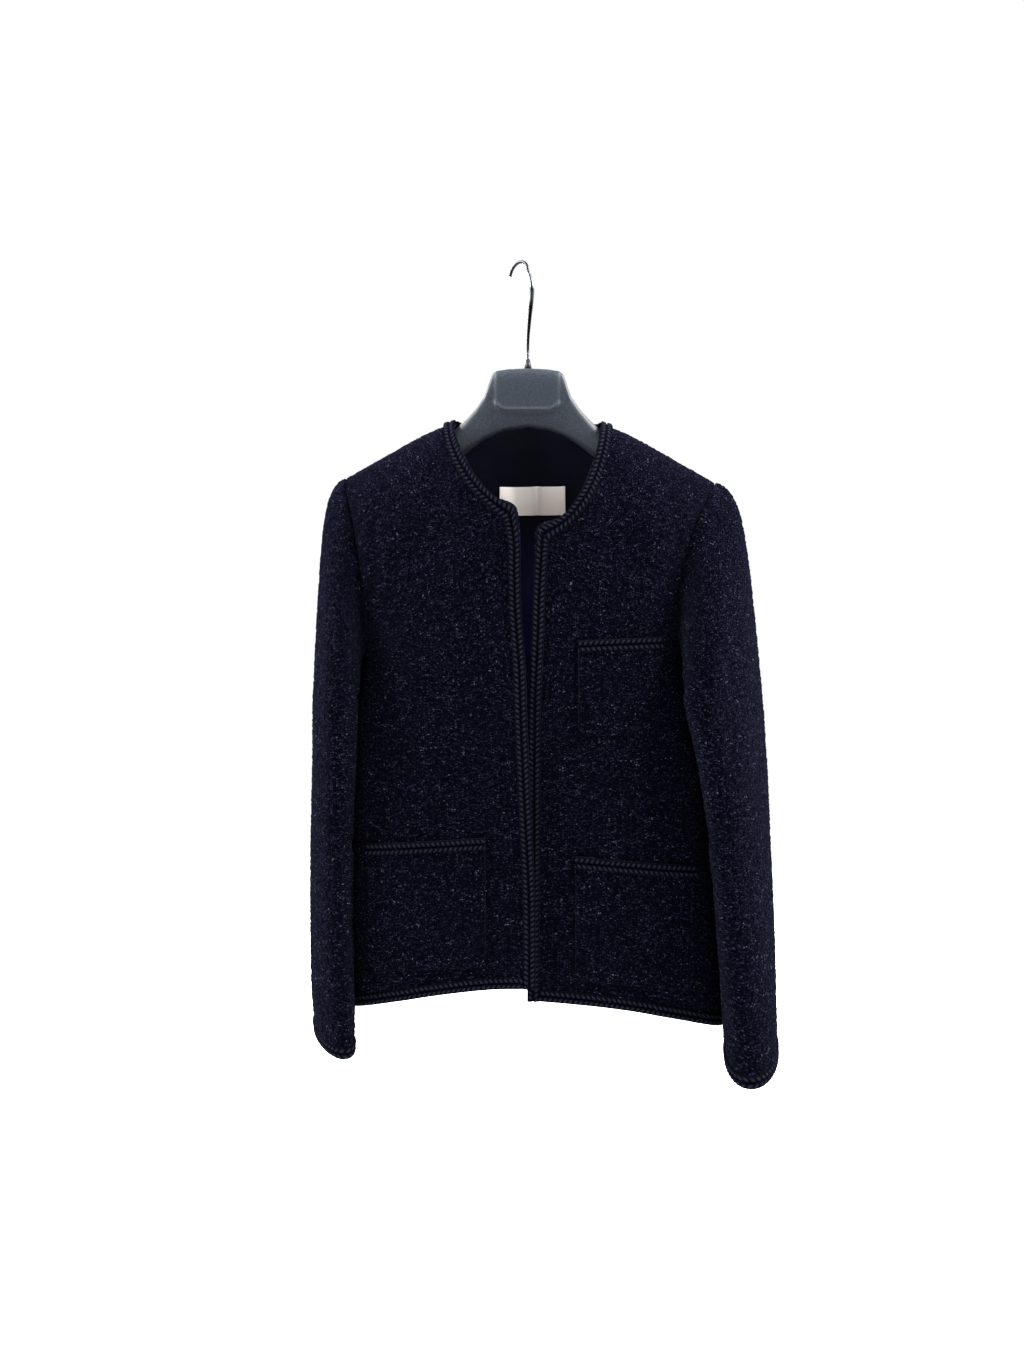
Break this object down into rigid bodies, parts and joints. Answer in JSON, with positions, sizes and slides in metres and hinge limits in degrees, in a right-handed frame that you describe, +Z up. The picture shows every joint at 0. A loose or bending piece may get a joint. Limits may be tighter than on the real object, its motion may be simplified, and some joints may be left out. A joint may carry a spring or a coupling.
{
  "type": "cropped tweed jacket on a hanger",
  "caption": "Collarless cropped tweed jacket with plaited trim and patch pockets, hanging open on a broad moulded hanger with a metal hook.",
  "frame": {"origin": "seat under the top of the hanger hook's loop, where a rail holds it", "axes": "+Z up, against the hang; the jacket's front faces -Y; +X is to the right as seen from the front"},
  "size_m": [0.4773, 0.1621, 0.8111],
  "materials": {
    "tweed": "boucle tweed, nearly black navy with lighter flecks",
    "braid": "matte plaited trim",
    "lining": "dark satin",
    "label": "bare light satin ribbon",
    "plastic": "fine-grained slate blue-grey plastic",
    "chrome": "polished wire"
  },
  "bodies": {
    "root": {"front_left": "tweed", "front_right": "tweed", "back": "tweed", "sleeve_left": "tweed", "sleeve_right": "tweed", "pocket_chest": "tweed", "pocket_lower_left": "tweed", "pocket_lower_right": "tweed", "braid_neck": "braid", "braid_front_left": "braid", "braid_front_right": "braid", "braid_hem": "braid", "braid_cuff_left": "braid", "braid_cuff_right": "braid", "braid_pocket_chest": "braid", "braid_pocket_lower_left": "braid", "braid_pocket_lower_right": "braid", "lining_back": "lining", "label": "label", "hanger_body": "plastic", "hanger_ferrule": "plastic", "hanger_hook": "chrome"}
  },
  "joints": []
}
